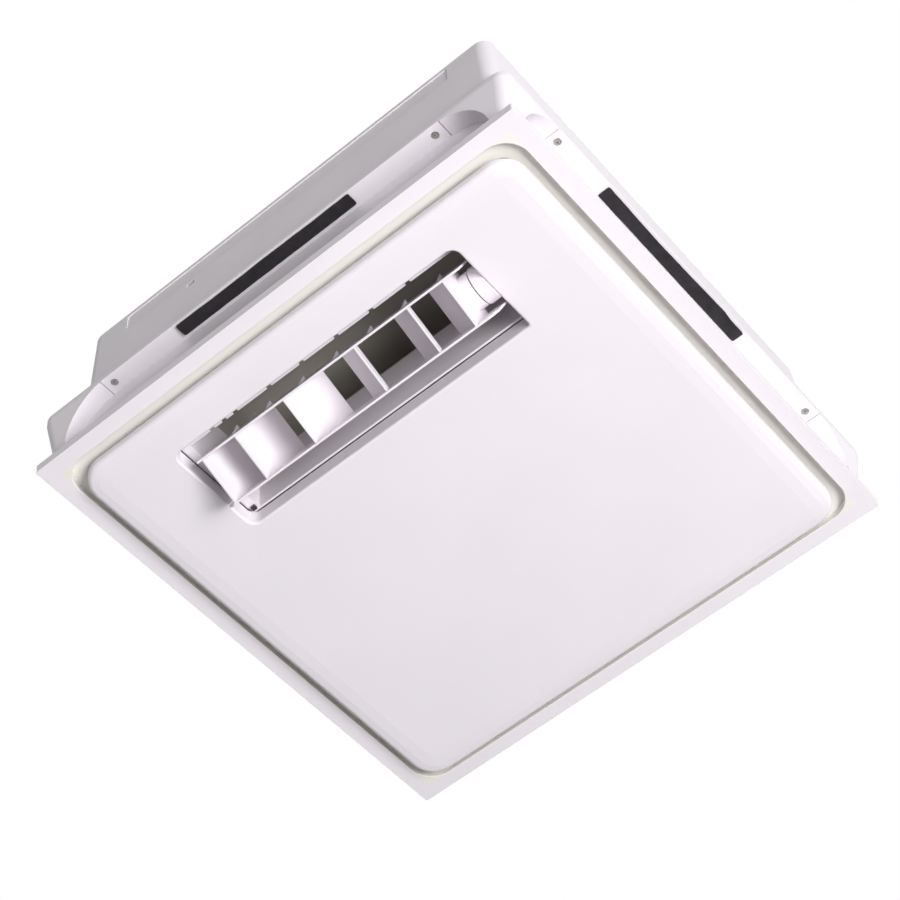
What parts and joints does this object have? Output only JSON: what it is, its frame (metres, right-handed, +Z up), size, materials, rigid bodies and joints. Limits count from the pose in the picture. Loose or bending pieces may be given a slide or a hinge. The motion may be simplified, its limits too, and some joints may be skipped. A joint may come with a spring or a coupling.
{
  "type": "recessed ceiling fan",
  "caption": "Square recessed ceiling fan with a perimeter air slot, a centrifugal wheel in a scroll casing and a swinging louver outlet.",
  "frame": {"origin": "centre of the plane in which the trim frame rests on the ceiling grid", "axes": "+Z up into the ceiling void, X along the outlet, the outlet is on the -Y side, the room is below"},
  "size_m": [0.595, 0.595, 0.2474],
  "materials": {
    "white_plastic": "satin moulded white",
    "housing_plastic": "satin moulded white",
    "inner_plastic": "moulded, dark grey",
    "galvanised_steel": "galvanised",
    "zinc_screws": "zinc plated",
    "steel_shaft": "ground steel",
    "magnet": "dark ferrite",
    "core_steel": "laminated steel",
    "copper_winding": "enamelled copper",
    "rubber": "matt black",
    "foam": "closed-cell foam, matt black",
    "box_plastic": "flame-retardant moulding, off-white",
    "board": "green board with parts",
    "terminal": "white block",
    "gland": "black nylon",
    "receiver_window": "dark smoked plastic"
  },
  "bodies": {
    "housing": {"box_fixing_screws": "zinc_screws", "box_screws": "zinc_screws", "cable_gland": "gland", "catch_screws": "zinc_screws", "catch_sockets": "inner_plastic", "circuit_board": "board", "control_box": "box_plastic", "control_box_lid": "box_plastic", "duct_screws": "zinc_screws", "face_panel": "white_plastic", "foam_pad_front": "foam", "foam_pad_left": "foam", "foam_pad_rear": "foam", "foam_pad_right": "foam", "frame_screws": "zinc_screws", "hanger_brackets": "galvanised_steel", "hanger_screws": "zinc_screws", "housing_screws": "zinc_screws", "louver_duct": "white_plastic", "lower_tray": "white_plastic", "motor_bearings": "steel_shaft", "motor_can": "galvanised_steel", "motor_grommets": "rubber", "motor_plate": "galvanised_steel", "motor_screws": "zinc_screws", "orifice_plate": "inner_plastic", "outlet_elbow": "inner_plastic", "panel_catches": "galvanised_steel", "pivot_bush": "inner_plastic", "receiver": "receiver_window", "scroll_casing": "inner_plastic", "scroll_screws": "zinc_screws", "stator_core": "core_steel", "stator_winding": "copper_winding", "swing_motor": "galvanised_steel", "swing_motor_screws": "zinc_screws", "terminal_block": "terminal", "trim_frame": "white_plastic", "upper_housing": "housing_plastic"},
    "rotor": {"impeller": "inner_plastic", "impeller_nut": "zinc_screws", "motor_shaft": "steel_shaft", "rotor_magnet": "magnet"},
    "louver": {"louver_frame": "white_plastic", "louver_vane_1": "white_plastic", "louver_vane_2": "white_plastic", "louver_vane_3": "white_plastic", "louver_vane_4": "white_plastic", "swing_shaft": "steel_shaft", "pivot_pin": "steel_shaft"}
  },
  "joints": [
    {"name": "fan_spin", "type": "hinge", "parent": "housing", "child": "rotor", "pos_m": [-0.0215, 0.06, 0.1], "axis": [0, 0, -1], "continuous": true},
    {"name": "louver_swing", "type": "hinge", "parent": "housing", "child": "louver", "pos_m": [0, -0.171, 0.0035], "axis": [1, 0, 0], "range_deg": [-10, 60]}
  ]
}
